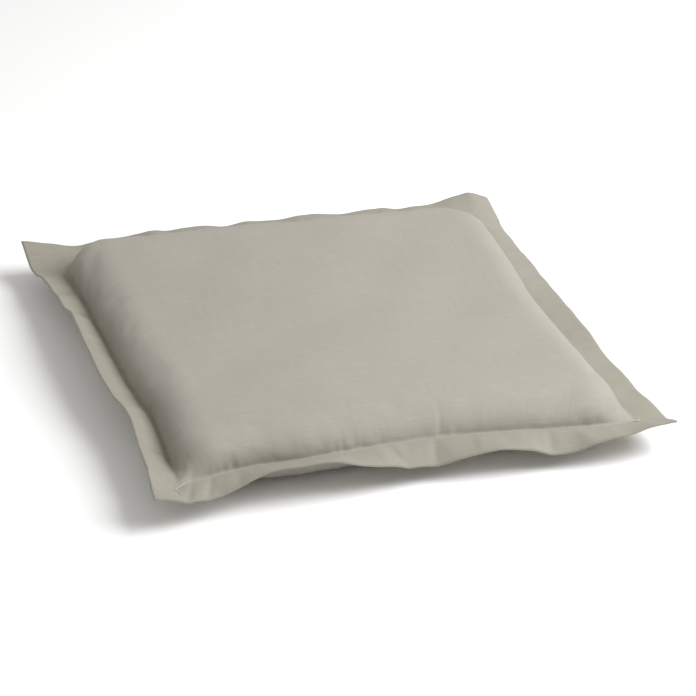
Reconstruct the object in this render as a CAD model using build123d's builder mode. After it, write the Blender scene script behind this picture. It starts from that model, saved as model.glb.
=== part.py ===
"""A square floor cushion with a flat flange all round, a zipped cover and a wadded foam insert.

Millimetres. +Z is up, the origin is on the floor under the cushion's centre, and the zip runs
along X under the rear half of the base.
"""

import os

from build123d import *

# Cover
SIDE = 500.0  # over the flange, both ways
FLANGE = 30.0
THICKNESS = 60.0
SEAM_Z = 28.0  # the plane in which the two halves of the cover meet
CLOTH = 0.8
EDGE_CORNER = 6.0  # the flange's outer corners, in plan
BODY_HALF = SIDE / 2 - FLANGE
BODY_CORNER = 30.0  # the padded body's corners, in plan
CROWN_ROUND = 24.0
BASE_ROUND = 20.0

# Thread
THREAD = 0.5
TOPSTITCH_OUT = 1.5  # from the body's wall to the topstitching on the flange
EDGE_SEAM_IN = 1.2  # from the flange's edge to the hidden seam between its layers
BACKTACK = (8.0, 1.4, 0.6)
BACKTACK_AT = 218.0  # its middle, from the centre both ways

# Zip, a number 5 nylon coil
ZIP_Y = 150.0
VALLEY_DEPTH = 8.0  # the zip's seam pulls the base up into a valley this deep
VALLEY_TOP = 16.0  # half its width at the zip
VALLEY_MOUTH = 24.0  # half its width at the floor
SLOT_HALF = 5.0  # from the zip's centre line to a folded edge of the base
SLOT_LENGTH = 392.0
TAPE_LENGTH = 402.0
TAPE_GAP = 0.6
TAPE_OUT = 15.5
TAPE = 0.6
COIL_LENGTH = 380.0
COIL_IN = 0.5
COIL_OUT = 3.1
COIL = 2.2
COIL_ROUND = 0.55
STOP = 2.5
STOP_GAP = 1.0
ZIP_STITCH_OUT = 8.0
ZIP_BARTACK = 2.0

# Slider and its pull tab
SLIDER_LENGTH = 11.0
SLIDER_WIDTH = 8.6
SLIDER_TAIL = 7.4
SLIDER_PLATE = 1.2
SLIDER_CORNER = 0.8
SLIDER_REST_X = -184.0
SLIDER_POST = 3.0  # the post's length along the zip, at the slider's wide end
SLIDER_POST_HALF = 0.3
SLIDER_RAIL = (1.0, 1.5)  # from the slider's wide and narrow ends to the ends of its rails
RUNNING = 0.3
BAIL_WIDTH = 1.6
BAIL_LENGTH = 7.0
BAIL_OPENING = 2.0
BAIL_BAR = 1.0
PULL_PIN = 0.7
PULL_THICK = 1.2
PULL_WIDTH = 6.0
PULL_WINDOW = 3.0  # the width of the loop that goes round the bail
PULL_WINDOW_LENGTH = 5.2
PULL_LENGTH = 26.0
PULL_CORNER = 2.8
PULL_HOLE = 1.4
PULL_HOLE_IN = 5.0  # from the tab's free end to the middle of its hole

# Insert
CASE_GAP = 0.4  # between the cover and the insert's case
CASE = 0.4
CASE_VALLEY_DEPTH = 11.6  # leaves room over the zip for the slider's upper plate
FOAM_SIDE = 390.0
FOAM_BASE_Z = 14.0
FOAM_THICK = 32.0
FOAM_CORNER = 6.0

VALLEY_Z = VALLEY_DEPTH
TAPE_Z = VALLEY_Z + CLOTH
COIL_Z = TAPE_Z - COIL
SLIDER_LOWER_Z = COIL_Z - RUNNING - SLIDER_PLATE
SLIDER_UPPER_Z = TAPE_Z + TAPE + RUNNING
BAIL_BOTTOM_Z = SLIDER_LOWER_Z - BAIL_OPENING - BAIL_BAR
PIVOT_Z = SLIDER_LOWER_Z - BAIL_OPENING / 2
CASE_INSET = CLOTH + CASE_GAP
WADDING_INSET = CASE_INSET + CASE


def half_body(up, inset, valley_depth=VALLEY_DEPTH):
    """The padded body above or below the seam, taken in by inset on every side but the seam."""
    with BuildPart(mode=Mode.PRIVATE) as half:
        with BuildSketch(Plane.XY.offset(SEAM_Z)):
            width = 2 * (BODY_HALF - inset)
            RectangleRounded(width, width, BODY_CORNER - inset)
        if up:
            extrude(amount=THICKNESS - SEAM_Z - inset)
            fillet(half.faces().sort_by(Axis.Z)[-1].edges(), CROWN_ROUND - inset)
        else:
            extrude(amount=-(SEAM_Z - inset))
            fillet(half.faces().sort_by(Axis.Z)[0].edges(), BASE_ROUND - inset)
            add(zip_valley(inset, valley_depth), mode=Mode.SUBTRACT)
    return half.part


def zip_valley(inset, depth):
    """The valley along the zip, grown by inset."""
    with BuildPart(mode=Mode.PRIVATE) as valley:
        with BuildSketch(Plane.YZ.offset(-SIDE / 2)):
            with BuildLine():
                Polyline(
                    (ZIP_Y - VALLEY_MOUTH - inset, -1),
                    (ZIP_Y - VALLEY_MOUTH - inset, 0),
                    (ZIP_Y - VALLEY_TOP - inset, depth + inset),
                    (ZIP_Y + VALLEY_TOP + inset, depth + inset),
                    (ZIP_Y + VALLEY_MOUTH + inset, 0),
                    (ZIP_Y + VALLEY_MOUTH + inset, -1),
                    close=True,
                )
            make_face()
        extrude(amount=SIDE)
    return valley.part


def square_ring(half, width, corner, z, height):
    """A ring of thread or cloth with a rounded square plan, its inner side at half."""
    with BuildPart(mode=Mode.PRIVATE) as ring:
        with BuildSketch(Plane.XY.offset(z)):
            outer = 2 * (half + width)
            RectangleRounded(outer, outer, corner + width)
            RectangleRounded(2 * half, 2 * half, corner, mode=Mode.SUBTRACT)
        extrude(amount=height)
    return ring.part


def block(x, y, z):
    """A box from three (low, high) pairs."""
    with BuildPart(mode=Mode.PRIVATE) as made:
        with Locations(((x[0] + x[1]) / 2, (y[0] + y[1]) / 2, (z[0] + z[1]) / 2)):
            Box(x[1] - x[0], y[1] - y[0], z[1] - z[0])
    return made.part


def save(part, name):
    """Labels a finished piece and writes it to its own file."""
    part.label = name
    export_step(part, f"parts/{name}.step")


def edge_seam():
    """The hidden seam that joins the two layers of the flange just inside its edge."""
    half = SIDE / 2 - EDGE_SEAM_IN - THREAD
    return square_ring(half, THREAD, EDGE_CORNER - EDGE_SEAM_IN - THREAD, SEAM_Z - THREAD / 2, THREAD)


def cover_shell(up):
    """One face of the cover: its layer of the flange and the shell over the padding."""
    with BuildPart(mode=Mode.PRIVATE) as shell:
        with BuildSketch(Plane.XY.offset(SEAM_Z)):
            RectangleRounded(SIDE, SIDE, EDGE_CORNER)
        extrude(amount=CLOTH if up else -CLOTH)
        add(half_body(up, 0))
        add(half_body(up, CLOTH), mode=Mode.SUBTRACT)
        add(edge_seam(), mode=Mode.SUBTRACT)
    return shell.part


def zip_side(side, near, far, z, height, length):
    """A straight strip along the zip. side is -1 in front of its centre line and 1 behind it."""
    y = sorted((ZIP_Y + side * near, ZIP_Y + side * far))
    return block((-length / 2, length / 2), y, (z, z + height))


os.makedirs("parts", exist_ok=True)

# ---- cover ----
with BuildPart() as cover_top_panel:
    add(cover_shell(up=True))
save(cover_top_panel.part, "cover_top_panel")

zip_plane = Plane(origin=(0, ZIP_Y, 0), z_dir=(0, 1, 0))
for name, kept in (("cover_base_front_panel", Keep.BOTTOM), ("cover_base_rear_panel", Keep.TOP)):
    with BuildPart() as base_panel:
        add(cover_shell(up=False))
        with Locations((0, ZIP_Y, VALLEY_Z)):
            Box(SLOT_LENGTH, 2 * SLOT_HALF, VALLEY_DEPTH, mode=Mode.SUBTRACT)
        split(bisect_by=zip_plane, keep=kept)
    save(base_panel.part, name)

# ---- thread ----
with BuildPart() as edge_seam_thread:
    add(edge_seam())
save(edge_seam_thread.part, "edge_seam_thread")

TOPSTITCH_HALF = BODY_HALF + TOPSTITCH_OUT
for name, z in (
    ("topstitch_upper_thread", SEAM_Z + CLOTH),
    ("topstitch_lower_thread", SEAM_Z - CLOTH - THREAD),
):
    with BuildPart() as topstitch:
        add(square_ring(TOPSTITCH_HALF, THREAD, BODY_CORNER + TOPSTITCH_OUT, z, THREAD))
    save(topstitch.part, name)

# A backtack locks the topstitching across each corner.
with BuildPart() as corner_backtacks:
    for turn in (45, 135, 225, 315):
        with Locations(Location((0, 0, SEAM_Z + CLOTH + BACKTACK[2] / 2), (0, 0, turn))):
            with Locations((BACKTACK_AT * 2**0.5, 0, 0)):
                Box(BACKTACK[1], BACKTACK[0], BACKTACK[2])
save(corner_backtacks.part, "corner_backtacks")

# ---- zip ----
for side, place in ((-1, "front"), (1, "rear")):
    with BuildPart() as zip_tape:
        add(zip_side(side, TAPE_GAP, TAPE_OUT, TAPE_Z, TAPE, TAPE_LENGTH))
    save(zip_tape.part, f"zip_tape_{place}")

    with BuildPart() as zip_coil:
        add(zip_side(side, COIL_IN, COIL_OUT, COIL_Z, COIL, COIL_LENGTH))
        fillet(zip_coil.edges().filter_by(Axis.X).group_by(Axis.Z)[0], COIL_ROUND)
    save(zip_coil.part, f"zip_coil_{place}")

    with BuildPart() as zip_stitching:
        add(
            zip_side(
                side,
                ZIP_STITCH_OUT,
                ZIP_STITCH_OUT + THREAD,
                VALLEY_Z - THREAD,
                THREAD,
                SLOT_LENGTH,
            )
        )
    save(zip_stitching.part, f"zip_stitching_{place}")

with BuildPart() as zip_top_stops:
    for side in (-1, 1):
        y = sorted((ZIP_Y + side * COIL_IN, ZIP_Y + side * COIL_OUT))
        x = (-COIL_LENGTH / 2 - STOP_GAP - STOP, -COIL_LENGTH / 2 - STOP_GAP)
        add(block(x, y, (COIL_Z, TAPE_Z)))
    fillet(zip_top_stops.edges().filter_by(Axis.X).group_by(Axis.Z)[0], COIL_ROUND)
save(zip_top_stops.part, "zip_top_stops")

with BuildPart() as zip_bottom_stop:
    x = (COIL_LENGTH / 2 + STOP_GAP, COIL_LENGTH / 2 + STOP_GAP + STOP)
    y = (ZIP_Y - COIL_OUT, ZIP_Y + COIL_OUT)
    add(block(x, y, (COIL_Z, TAPE_Z)))
    fillet(zip_bottom_stop.edges().filter_by(Axis.X).group_by(Axis.Z)[0], COIL_ROUND)
save(zip_bottom_stop.part, "zip_bottom_stop")

# A dense bar of thread closes the base at each end of the zip.
with BuildPart() as zip_end_bartacks:
    for end in (-1, 1):
        x = sorted((end * SLOT_LENGTH / 2, end * (SLOT_LENGTH / 2 + ZIP_BARTACK)))
        y = (ZIP_Y - ZIP_STITCH_OUT, ZIP_Y + ZIP_STITCH_OUT)
        add(block(x, y, (VALLEY_Z - THREAD, VALLEY_Z)))
save(zip_end_bartacks.part, "zip_end_bartacks")

# ---- slider ----
SLIDER_WIDE_X = SLIDER_REST_X - SLIDER_LENGTH / 2  # its end nearer the zip's top stops
SLIDER_NARROW_X = SLIDER_REST_X + SLIDER_LENGTH / 2

with BuildPart() as zip_slider:
    for z in (SLIDER_LOWER_Z, SLIDER_UPPER_Z):
        with BuildSketch(Plane.XY.offset(z)):
            with BuildLine():
                Polyline(
                    (SLIDER_WIDE_X, ZIP_Y - SLIDER_WIDTH / 2),
                    (SLIDER_REST_X, ZIP_Y - SLIDER_WIDTH / 2),
                    (SLIDER_NARROW_X, ZIP_Y - SLIDER_TAIL / 2),
                    (SLIDER_NARROW_X, ZIP_Y + SLIDER_TAIL / 2),
                    (SLIDER_REST_X, ZIP_Y + SLIDER_WIDTH / 2),
                    (SLIDER_WIDE_X, ZIP_Y + SLIDER_WIDTH / 2),
                    close=True,
                )
            make_face()
        extrude(amount=SLIDER_PLATE)
    fillet(zip_slider.edges().filter_by(Axis.Z), SLIDER_CORNER)
    # The post that parts the coils joins the two plates.
    post_x = (SLIDER_WIDE_X + SLIDER_RAIL[0], SLIDER_WIDE_X + SLIDER_RAIL[0] + SLIDER_POST)
    post_y = (ZIP_Y - SLIDER_POST_HALF, ZIP_Y + SLIDER_POST_HALF)
    add(block(post_x, post_y, (SLIDER_LOWER_Z, SLIDER_UPPER_Z + SLIDER_PLATE)))
    # Rails turned up along the lower plate hold the coils in.
    for side in (-1, 1):
        y = sorted((ZIP_Y + side * (COIL_OUT + RUNNING), ZIP_Y + side * SLIDER_TAIL / 2))
        x = (SLIDER_WIDE_X + SLIDER_RAIL[0], SLIDER_NARROW_X - SLIDER_RAIL[1])
        add(block(x, y, (SLIDER_LOWER_Z + SLIDER_PLATE / 2, TAPE_Z - CLOTH)))
    # The bail under the lower plate carries the pull tab.
    bail_x = (SLIDER_REST_X - BAIL_LENGTH / 2, SLIDER_REST_X + BAIL_LENGTH / 2)
    bail_y = (ZIP_Y - BAIL_WIDTH / 2, ZIP_Y + BAIL_WIDTH / 2)
    add(block(bail_x, bail_y, (BAIL_BOTTOM_Z, SLIDER_LOWER_Z)))
    opening_x = (bail_x[0] + BAIL_BAR, bail_x[1] - BAIL_BAR)
    opening_z = (SLIDER_LOWER_Z - BAIL_OPENING, SLIDER_LOWER_Z)
    add(block(opening_x, bail_y, opening_z), mode=Mode.SUBTRACT)
save(zip_slider.part, "zip_slider")

# The pull tab lies along the zip, towards its open end, with its pin through the bail.
with BuildPart() as zip_pull_tab:
    with BuildSketch(Plane.XY.offset(PIVOT_Z - PULL_THICK / 2)):
        with Locations((SLIDER_REST_X + PULL_LENGTH / 2, ZIP_Y)):
            RectangleRounded(PULL_LENGTH, PULL_WIDTH, PULL_CORNER)
        with Locations((SLIDER_REST_X + PULL_WINDOW_LENGTH / 2, ZIP_Y)):
            Rectangle(PULL_WINDOW_LENGTH, PULL_WINDOW, mode=Mode.SUBTRACT)
        with Locations((SLIDER_REST_X + PULL_LENGTH - PULL_HOLE_IN, ZIP_Y)):
            Circle(PULL_HOLE, mode=Mode.SUBTRACT)
    extrude(amount=PULL_THICK)
    pin_end = (SLIDER_REST_X, ZIP_Y + PULL_WIDTH / 2, PIVOT_Z)
    with BuildSketch(Plane(origin=pin_end, z_dir=(0, -1, 0))):
        Circle(PULL_PIN)
    extrude(amount=PULL_WIDTH)
save(zip_pull_tab.part, "zip_pull_tab")

# ---- insert ----
with BuildPart() as insert_case_top:
    add(half_body(True, CASE_INSET))
    add(half_body(True, WADDING_INSET), mode=Mode.SUBTRACT)
save(insert_case_top.part, "insert_case_top")

with BuildPart() as insert_case_base:
    add(half_body(False, CASE_INSET, CASE_VALLEY_DEPTH - CASE_INSET))
    add(half_body(False, WADDING_INSET, CASE_VALLEY_DEPTH - CASE_INSET), mode=Mode.SUBTRACT)
save(insert_case_base.part, "insert_case_base")

with BuildPart() as foam_core:
    with BuildSketch(Plane.XY.offset(FOAM_BASE_Z)):
        RectangleRounded(FOAM_SIDE, FOAM_SIDE, FOAM_CORNER)
    extrude(amount=FOAM_THICK)
save(foam_core.part, "foam_core")

with BuildPart() as wadding_top:
    add(half_body(True, WADDING_INSET))
    add(foam_core.part, mode=Mode.SUBTRACT)
save(wadding_top.part, "wadding_top")

with BuildPart() as wadding_base:
    add(half_body(False, WADDING_INSET, CASE_VALLEY_DEPTH - CASE_INSET))
    add(foam_core.part, mode=Mode.SUBTRACT)
save(wadding_base.part, "wadding_base")
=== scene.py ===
"""A square flanged floor cushion: woven cover, thread, zip, and the padded insert inside it.

Lengths are in metres, and MM turns a size in millimetres into them.
"""

import math
import random

import bpy
import numpy as np
from mathutils import Matrix, Vector


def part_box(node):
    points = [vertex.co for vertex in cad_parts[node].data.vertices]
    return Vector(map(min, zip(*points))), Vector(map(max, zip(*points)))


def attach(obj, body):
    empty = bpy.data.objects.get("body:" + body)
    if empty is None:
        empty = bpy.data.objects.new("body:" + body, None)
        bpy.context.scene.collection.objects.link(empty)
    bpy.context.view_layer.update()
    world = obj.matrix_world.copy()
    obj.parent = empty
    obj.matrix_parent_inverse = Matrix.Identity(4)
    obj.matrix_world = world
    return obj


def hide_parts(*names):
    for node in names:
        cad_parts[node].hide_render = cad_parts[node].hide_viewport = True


MM = 0.001

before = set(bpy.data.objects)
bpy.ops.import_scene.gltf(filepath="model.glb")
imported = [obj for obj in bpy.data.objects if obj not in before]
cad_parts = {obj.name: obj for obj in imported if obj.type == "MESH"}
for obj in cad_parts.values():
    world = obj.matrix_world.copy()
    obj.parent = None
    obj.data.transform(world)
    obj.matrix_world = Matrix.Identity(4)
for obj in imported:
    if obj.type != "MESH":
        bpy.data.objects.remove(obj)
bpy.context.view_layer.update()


# ---------------------------------------------------------------- sizes from the frame

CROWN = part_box("cover_top_panel")[1].z
SEAM_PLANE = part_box("cover_top_panel")[0].z
SIDE_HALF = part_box("cover_top_panel")[1].x
CLOTH = 0.8 * MM
THREAD = 0.5 * MM
LOOSE_THREAD = 0.6 * MM  # a cut end untwists and swells
TOPSTITCH_OUT = 1.5 * MM
SEAM_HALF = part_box("topstitch_upper_thread")[1].x - THREAD - TOPSTITCH_OUT
FLANGE = SIDE_HALF - SEAM_HALF
ZIP_Y = (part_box("zip_slider")[0].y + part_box("zip_slider")[1].y) / 2
TAPE_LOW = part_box("zip_tape_front")[0].z
TAPE_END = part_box("zip_tape_front")[1].x
SLOT_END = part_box("zip_stitching_front")[1].x
STITCH_LINE = ZIP_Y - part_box("zip_stitching_front")[1].y + THREAD / 2
SLOT_HALF = 5 * MM
VALLEY = TAPE_LOW - CLOTH
VALLEY_TOP = 13 * MM  # half the valley's width at the zip
VALLEY_MOUTH = 27 * MM  # and at the floor

# How the filled cover hangs on its seam
SEAM_LOW = 25 * MM  # the seam's height at its corners
SEAM_RISE = 6 * MM  # and how much higher it is half way along a side
CROWN_REACH = 42 * MM  # from the seam in to the flat of the top
BASE_REACH = 36 * MM  # and to where the base touches the floor
TOP_DOME = 2.5 * MM
FLANGE_CURL = 1.2  # 1 for a flange that leaves the seam straight, and more for one that curls
SLACK_CORNER = 38 * MM  # what the filling lacks in the far right corner

# The cover's grid of points, fine enough to bend and coarse enough to simulate
BODY_CELLS = 92
FLANGE_CELLS = 6

# How the filled cover settles
CLOTH_SLACK = 0.012
CLOTH_BENDING = 1.5
CLOTH_PRESSURE = 0.7
SETTLE_FRAMES = 20
SETTLE_CAP = 4 * MM
WALL_SHARE = 0.45  # the share of the cloth's movement that the wadded walls let through
FOAM_SHARE = 0.25  # and that the flat foam does


# ---------------------------------------------------------------- small helpers


def smooth(t):
    """0 to 1 with no kink at either end."""
    t = np.clip(t, 0, 1)
    return t * t * (3 - 2 * t)


def wave(points, at, softness=14 * MM):
    """A smooth curve through (place, height) pairs in millimetres, read at each place."""
    places, heights = np.array(points, float).T * MM
    dense = np.arange(places[0], places[-1], MM)
    run = np.interp(dense, places, heights)
    half = int(softness / MM)
    window = np.hanning(2 * half + 3)
    padded = np.pad(run, half + 1, mode="edge")
    return np.interp(at, dense, np.convolve(padded, window / window.sum(), mode="valid"))


def new_object(name, vertices, faces, cut=None):
    """A mesh object from arrays. cut is each vertex's place on the flat cloth, and becomes its UV map."""
    mesh = bpy.data.meshes.new(name)
    mesh.from_pydata([tuple(v) for v in vertices], [], [tuple(f) for f in faces])
    if cut is not None:
        layer = mesh.uv_layers.new(name="cut")
        corners = np.array([loop.vertex_index for loop in mesh.loops])
        layer.data.foreach_set("uv", np.ascontiguousarray(cut[corners], float).ravel())
    mesh.validate()
    mesh.polygons.foreach_set("use_smooth", [True] * len(mesh.polygons))
    piece = bpy.data.objects.new(name, mesh)
    bpy.context.collection.objects.link(piece)
    return piece


def finer(grid, axis):
    """Doubles a grid of points along an axis with a smooth curve through the old ones."""
    grid = np.moveaxis(grid, axis, 0)
    ends = np.concatenate([2 * grid[:1] - grid[1:2], grid, 2 * grid[-1:] - grid[-2:-1]])
    middles = (9 * (ends[1:-2] + ends[2:-1]) - ends[:-3] - ends[3:]) / 16
    out = np.empty((2 * len(grid) - 1,) + grid.shape[1:])
    out[::2], out[1::2] = grid, middles
    return np.moveaxis(out, 0, axis)


def finish(piece, body, material, node=None):
    """Hangs a finished piece on its CAD body, with its material and the nodes it stands for."""
    piece.data.materials.clear()
    piece.data.materials.append(material)
    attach(piece, body)
    if node:
        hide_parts(node)
    return piece


# ---------------------------------------------------------------- the flat cloth


def profile(reach, height, power):
    """A quarter of a squared-off ellipse from the seam to the flat: (run, inward, rise) arrays.

    run is the distance along the cloth, inward is how far it has come in from the seam, and rise
    goes from 0 at the seam to 1 on the flat.
    """
    angle = np.linspace(0, math.pi / 2, 400)
    inward = reach * (1 - np.cos(angle) ** (2 / power))
    rise = np.sin(angle) ** (2 / power)
    step = np.hypot(np.diff(inward), np.diff(rise * height))
    return np.concatenate([[0], np.cumsum(step)]), inward, rise


TOP_PROFILE = profile(CROWN_REACH, CROWN - SEAM_PLANE, power=2.3)
BASE_PROFILE = profile(BASE_REACH, SEAM_PLANE, power=2.1)
WALL_RUN = TOP_PROFILE[0][-1]
CUT_HALF = SEAM_HALF - CROWN_REACH + WALL_RUN  # half the flat cloth inside the seam
EDGE_CUT = CUT_HALF + FLANGE


# ---------------------------------------------------------------- materials

CLOTH_TONE = "#A5A197"
CLOTH_SHADE = "#9B968E"
FLANGE_TINT = "#F0F1EC"  # multiplies the cloth's colour


def colour(code):
    """An sRGB hex colour as linear RGBA."""
    parts = [int(code[i : i + 2], 16) / 255 for i in (1, 3, 5)]
    linear = [c / 12.92 if c <= 0.04045 else ((c + 0.055) / 1.055) ** 2.4 for c in parts]
    return (*linear, 1)


def node(tree, kind, inputs=(), **settings):
    """Adds a node. settings set its properties, or its inputs by name.

    inputs are more of its inputs, each with a socket to join, a number or a hex colour.
    """
    made = tree.nodes.new(kind)
    for name, value in settings.items():
        if hasattr(made, name):
            setattr(made, name, value)
        else:
            made.inputs[name.replace("_", " ")].default_value = value
    for place, value in dict(inputs).items():
        if isinstance(value, bpy.types.NodeSocket):
            tree.links.new(value, made.inputs[place])
        else:
            made.inputs[place].default_value = colour(value) if isinstance(value, str) else value
    return made


def new_material(name, **settings):
    """A material and its tree, with the Principled shader's own sockets set."""
    material = bpy.data.materials.new(name)
    material.use_nodes = True
    tree = material.node_tree
    shader = tree.nodes["Principled BSDF"]
    for socket, value in settings.items():
        shader.inputs[socket.replace("_", " ")].default_value = value
    return material, tree, shader


def wave_scale(spacing):
    """The Wave texture's scale for bands that are a number of millimetres apart."""
    return 2 * math.pi / 20 / (spacing * MM)


MIX_A, MIX_B, MIX_RESULT = 6, 7, 2  # the Mix node's sockets for colours


def over_object(tree, kind, **settings):
    """A texture over the object's own coordinates."""
    place = node(tree, "ShaderNodeTexCoord").outputs["Object"]
    return node(tree, kind, {0: place}, **settings)


def show_pattern(tree, shader, pattern, shaded, pale, strength, depth):
    """Makes a pattern show, as two colours and as a bump of a depth in millimetres."""
    tone = node(tree, "ShaderNodeMix", {0: pattern, MIX_A: shaded, MIX_B: pale}, data_type="RGBA")
    tree.links.new(tone.outputs[MIX_RESULT], shader.inputs["Base Color"])
    bump = node(tree, "ShaderNodeBump", {"Height": pattern}, Strength=strength, Distance=depth * MM)
    tree.links.new(bump.outputs[0], shader.inputs["Normal"])


def streaks(tree, cut, per_metre_u, per_metre_v, detail):
    """Noise drawn out along the cloth, from how many times a metre it changes each way."""
    stretched = node(tree, "ShaderNodeMapping", {0: cut}, Scale=(per_metre_u, per_metre_v, 1))
    noise = node(tree, "ShaderNodeTexNoise", {0: stretched.outputs[0]}, Scale=1.0, Detail=detail)
    return noise.outputs[0]


def plain_weave(tree, ways):
    """The height of crossed threads, along the flat cloth's two ways."""
    # Threads are 0.5 mm apart, drawn at 1 mm to show.
    turns = 2 * math.pi / (1.0 * MM)
    waves = []
    for way in ways:
        turned = node(tree, "ShaderNodeMath", {0: way, 1: turns}, operation="MULTIPLY").outputs[0]
        waves.append(node(tree, "ShaderNodeMath", {0: turned}, operation="SINE").outputs[0])
    return node(tree, "ShaderNodeMath", dict(enumerate(waves)), operation="MULTIPLY").outputs[0]


def share_in_flange(tree, ways):
    """0 over the filling and 1 in the flange, from the flat cloth's two ways."""
    far = [node(tree, "ShaderNodeMath", {0: way}, operation="ABSOLUTE").outputs[0] for way in ways]
    out = node(tree, "ShaderNodeMath", dict(enumerate(far)), operation="MAXIMUM").outputs[0]
    ends = {1: CUT_HALF - 2 * MM, 2: CUT_HALF + 3 * MM}
    return node(tree, "ShaderNodeMapRange", {0: out, **ends}).outputs[0]


def cotton_colour(tree, cut, slubs, threads, flange):
    """The cloth's colour, streaked and clouded, with its slubs and its flange."""
    drift = node(tree, "ShaderNodeTexNoise", {0: cut}, Scale=9.0, Detail=3.0).outputs[0]
    streak = node(tree, "ShaderNodeMapRange", {0: threads}, From_Min=0.4, From_Max=1.6).outputs[0]
    slub = node(tree, "ShaderNodeMath", {0: slubs, 1: 0.35}, operation="MULTIPLY").outputs[0]
    cloth = CLOTH_SHADE
    for share, tint, blend in (
        (streak, CLOTH_TONE, "MIX"),
        (drift, "#F4F3F1", "MULTIPLY"),
        (slub, "#C4BFB4", "MIX"),
        (flange, FLANGE_TINT, "MULTIPLY"),
    ):
        inputs = {0: share, MIX_A: cloth, MIX_B: tint}
        mix = node(tree, "ShaderNodeMix", inputs, data_type="RGBA", blend_type=blend)
        cloth = mix.outputs[MIX_RESULT]
    return cloth


def woven_cotton():
    """Matt, greige cotton canvas, darker in the flange, where no white filling shines through it."""
    material, tree, shader = new_material(
        "woven_cotton",
        Roughness=0.92,
        Sheen_Weight=0.1,
        Sheen_Roughness=0.6,
        Specular_IOR_Level=0.2,
    )
    cut = node(tree, "ShaderNodeUVMap", uv_map="cut").outputs[0]
    ways = node(tree, "ShaderNodeSeparateXYZ", {0: cut}).outputs[:2]

    # Slubs: thick places 10 to 25 mm long in the weft, which runs along X.
    thick = streaks(tree, cut, 60, 900, 2.0)
    slubs = node(tree, "ShaderNodeMapRange", {0: thick}, From_Min=0.61, From_Max=0.78).outputs[0]
    # Fine streaks along the warp and along the weft.
    crossed = {0: streaks(tree, cut, 700, 25, 1.0), 1: streaks(tree, cut, 18, 620, 1.0)}
    threads = node(tree, "ShaderNodeMath", crossed, operation="ADD").outputs[0]
    cloth = cotton_colour(tree, cut, slubs, threads, share_in_flange(tree, ways))
    tree.links.new(cloth, shader.inputs["Base Color"])

    raised = {0: plain_weave(tree, ways), 1: slubs}
    height = node(tree, "ShaderNodeMath", raised, operation="ADD").outputs[0]
    raised = {0: threads, 1: 0.3, 2: height}
    height = node(tree, "ShaderNodeMath", raised, operation="MULTIPLY_ADD").outputs[0]
    bump = node(tree, "ShaderNodeBump", {"Height": height}, Strength=0.25, Distance=0.08 * MM)
    tree.links.new(bump.outputs[0], shader.inputs["Normal"])
    return material


def spun_thread(name, shaded, pale):
    """Spun polyester thread, paler than the cloth and a little shinier, with a twist."""
    material, tree, shader = new_material(
        name, Roughness=0.65, Sheen_Weight=0.2, Specular_IOR_Level=0.4
    )
    twist = over_object(tree, "ShaderNodeTexNoise", Scale=2500.0, Detail=2.0).outputs[0]
    show_pattern(tree, shader, twist, shaded, pale, 0.5, 0.1)
    return material


def zip_tape_cloth():
    """Woven polyester zip tape: close, flat and a little silky, with a fine diagonal twill."""
    material, tree, shader = new_material("woven_zip_tape", Roughness=0.7, Sheen_Weight=0.1)
    # Twill lines are 0.4 mm apart, drawn at 1 mm to show.
    turned = over_object(tree, "ShaderNodeMapping", Rotation=(0, 0, math.radians(35))).outputs[0]
    lines = node(tree, "ShaderNodeTexWave", {0: turned}, Scale=wave_scale(1.0), Distortion=1.5).outputs[1]
    show_pattern(tree, shader, lines, "#A9A295", "#BBB4A7", 0.5, 0.1)
    return material


def nylon_monofilament():
    """Dyed nylon monofilament, coiled: smooth, slightly clear, with a soft highlight."""
    material, tree, shader = new_material(
        "nylon_monofilament",
        Roughness=0.32,
        IOR=1.53,
        Subsurface_Weight=0.15,
        Subsurface_Radius=(0.6 * MM, 0.5 * MM, 0.4 * MM),
    )
    tint = over_object(tree, "ShaderNodeTexNoise", Scale=60.0).outputs[0]
    inputs = {0: tint, MIX_A: "#A79F91", MIX_B: "#B4ADA0"}
    tone = node(tree, "ShaderNodeMix", inputs, data_type="RGBA")
    tree.links.new(tone.outputs[MIX_RESULT], shader.inputs["Base Color"])
    return material


def enamelled_zinc():
    """Die-cast zinc with a satin enamel, rubbed a little thin in scattered patches."""
    material, tree, shader = new_material(
        "enamelled_zinc", Roughness=0.38, Coat_Weight=0.3, Coat_Roughness=0.2
    )
    peel = over_object(tree, "ShaderNodeTexNoise", Scale=900.0, Detail=2.0).outputs[0]
    wear = over_object(tree, "ShaderNodeTexNoise", Scale=260.0, Detail=4.0).outputs[0]
    bare = node(tree, "ShaderNodeMapRange", {0: wear}, From_Min=0.62, From_Max=0.7).outputs[0]
    inputs = {0: bare, MIX_A: "#A39C8F", MIX_B: "#C4C0B8"}
    tone = node(tree, "ShaderNodeMix", inputs, data_type="RGBA")
    tree.links.new(tone.outputs[MIX_RESULT], shader.inputs["Base Color"])
    tree.links.new(bare, shader.inputs["Metallic"])
    bump = node(tree, "ShaderNodeBump", {"Height": peel}, Strength=0.2, Distance=0.05 * MM)
    tree.links.new(bump.outputs[0], shader.inputs["Normal"])
    return material


def soft_white(name, pale, shaded, scale, depth, sheen):
    """White inner stuff: spunbonded sheet or polyester wadding, told apart by their grain."""
    material, tree, shader = new_material(
        name, Roughness=0.95, Sheen_Weight=sheen, Specular_IOR_Level=0.2
    )
    noise = over_object(tree, "ShaderNodeTexNoise", Scale=scale, Detail=6.0, Roughness=0.7)
    show_pattern(tree, shader, noise.outputs[0], shaded, pale, 0.6, depth)
    return material


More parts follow.
